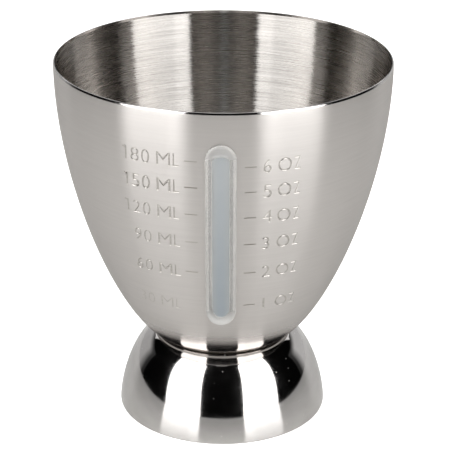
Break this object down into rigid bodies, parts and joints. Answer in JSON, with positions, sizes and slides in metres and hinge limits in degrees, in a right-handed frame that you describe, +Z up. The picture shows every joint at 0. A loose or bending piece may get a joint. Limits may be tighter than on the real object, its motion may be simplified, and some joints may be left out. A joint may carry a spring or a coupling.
{
  "type": "cocktail jigger",
  "caption": "Steel cocktail jigger: satin measuring bowl with a clear sight strip and volume marks, brazed onto a small polished cup that is its foot.",
  "frame": {"origin": "on the table, under the centre of the foot cup's lip", "axes": "+Z up through the middle of both cups; the sight strip faces -Y; +X is to the right of someone facing the strip"},
  "size_m": [0.0804, 0.0807, 0.09],
  "materials": {
    "satin_steel": "satin",
    "polished_steel": "polished",
    "braze_filler": "satin",
    "clear_silicone": "satin",
    "clear_plastic": "gloss"
  },
  "bodies": {
    "root": {"measuring_bowl": "satin_steel", "foot_cup": "polished_steel", "waist_braze": "braze_filler", "window_gasket": "clear_silicone", "window_pane": "clear_plastic"}
  },
  "joints": []
}
